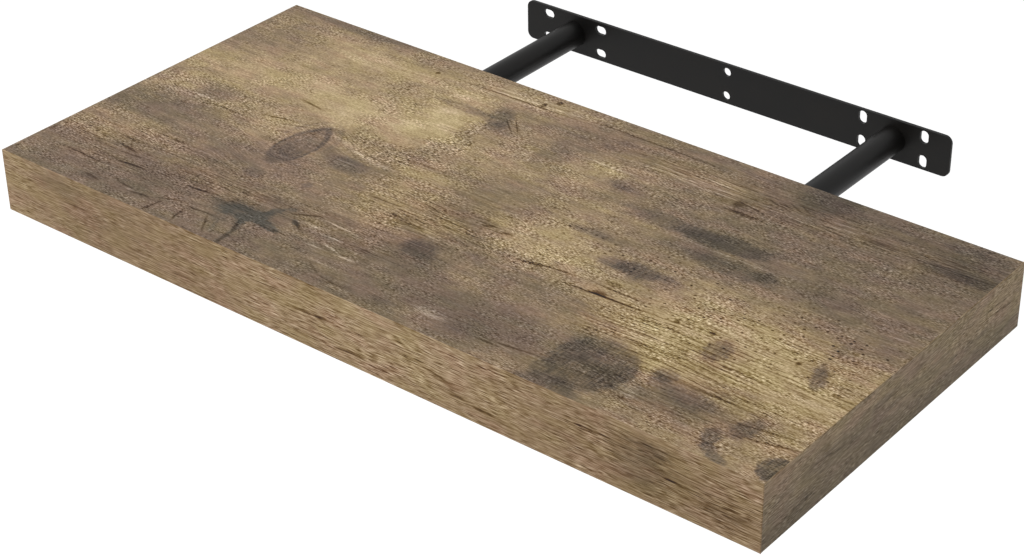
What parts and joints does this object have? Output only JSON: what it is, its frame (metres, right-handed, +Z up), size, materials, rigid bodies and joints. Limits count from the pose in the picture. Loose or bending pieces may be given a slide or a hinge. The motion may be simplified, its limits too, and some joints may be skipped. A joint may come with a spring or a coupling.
{
  "type": "floating wall shelf",
  "caption": "Thick rectangular floating shelf board in an old-wood decor that slides onto the rods of a black steel wall bracket and hides it.",
  "frame": {"origin": "middle of the wall plate's back face, where it lies on the wall", "axes": "+X along the board, to the right of someone facing the wall; +Y into the wall; +Z up"},
  "size_m": [0.5, 0.34, 0.038],
  "materials": {
    "face_decor": "matt printed decor foil, dark knotty old wood",
    "front_decor": "matt printed decor band, grain along the board",
    "end_decor": "matt printed decor band, grain along the depth",
    "mdf": "raw sawn fibreboard edge",
    "chipboard": "raw sawn chipboard",
    "honeycomb_paper": "raw kraft paper",
    "black_powder_coat": "black satin powder coat",
    "black_plastic": "matt moulded plastic"
  },
  "bodies": {
    "bracket": {"wall_plate": "black_powder_coat", "left_rod": "black_powder_coat", "right_rod": "black_powder_coat", "rod_welds": "black_powder_coat", "left_rod_cap": "black_plastic", "right_rod_cap": "black_plastic"},
    "board": {"top_foil": "face_decor", "bottom_foil": "face_decor", "front_edge_band": "front_decor", "left_edge_band": "end_decor", "right_edge_band": "end_decor", "top_panel": "mdf", "bottom_panel": "mdf", "front_rail": "chipboard", "back_rail": "chipboard", "left_end_rail": "chipboard", "right_end_rail": "chipboard", "left_rod_block": "chipboard", "right_rod_block": "chipboard", "honeycomb_left": "honeycomb_paper", "honeycomb_centre": "honeycomb_paper", "honeycomb_right": "honeycomb_paper"}
  },
  "joints": [
    {"name": "board_slide", "type": "slide", "parent": "bracket", "child": "board", "axis": [0, -1, 0], "range_m": [-0.105, 0.06]}
  ]
}
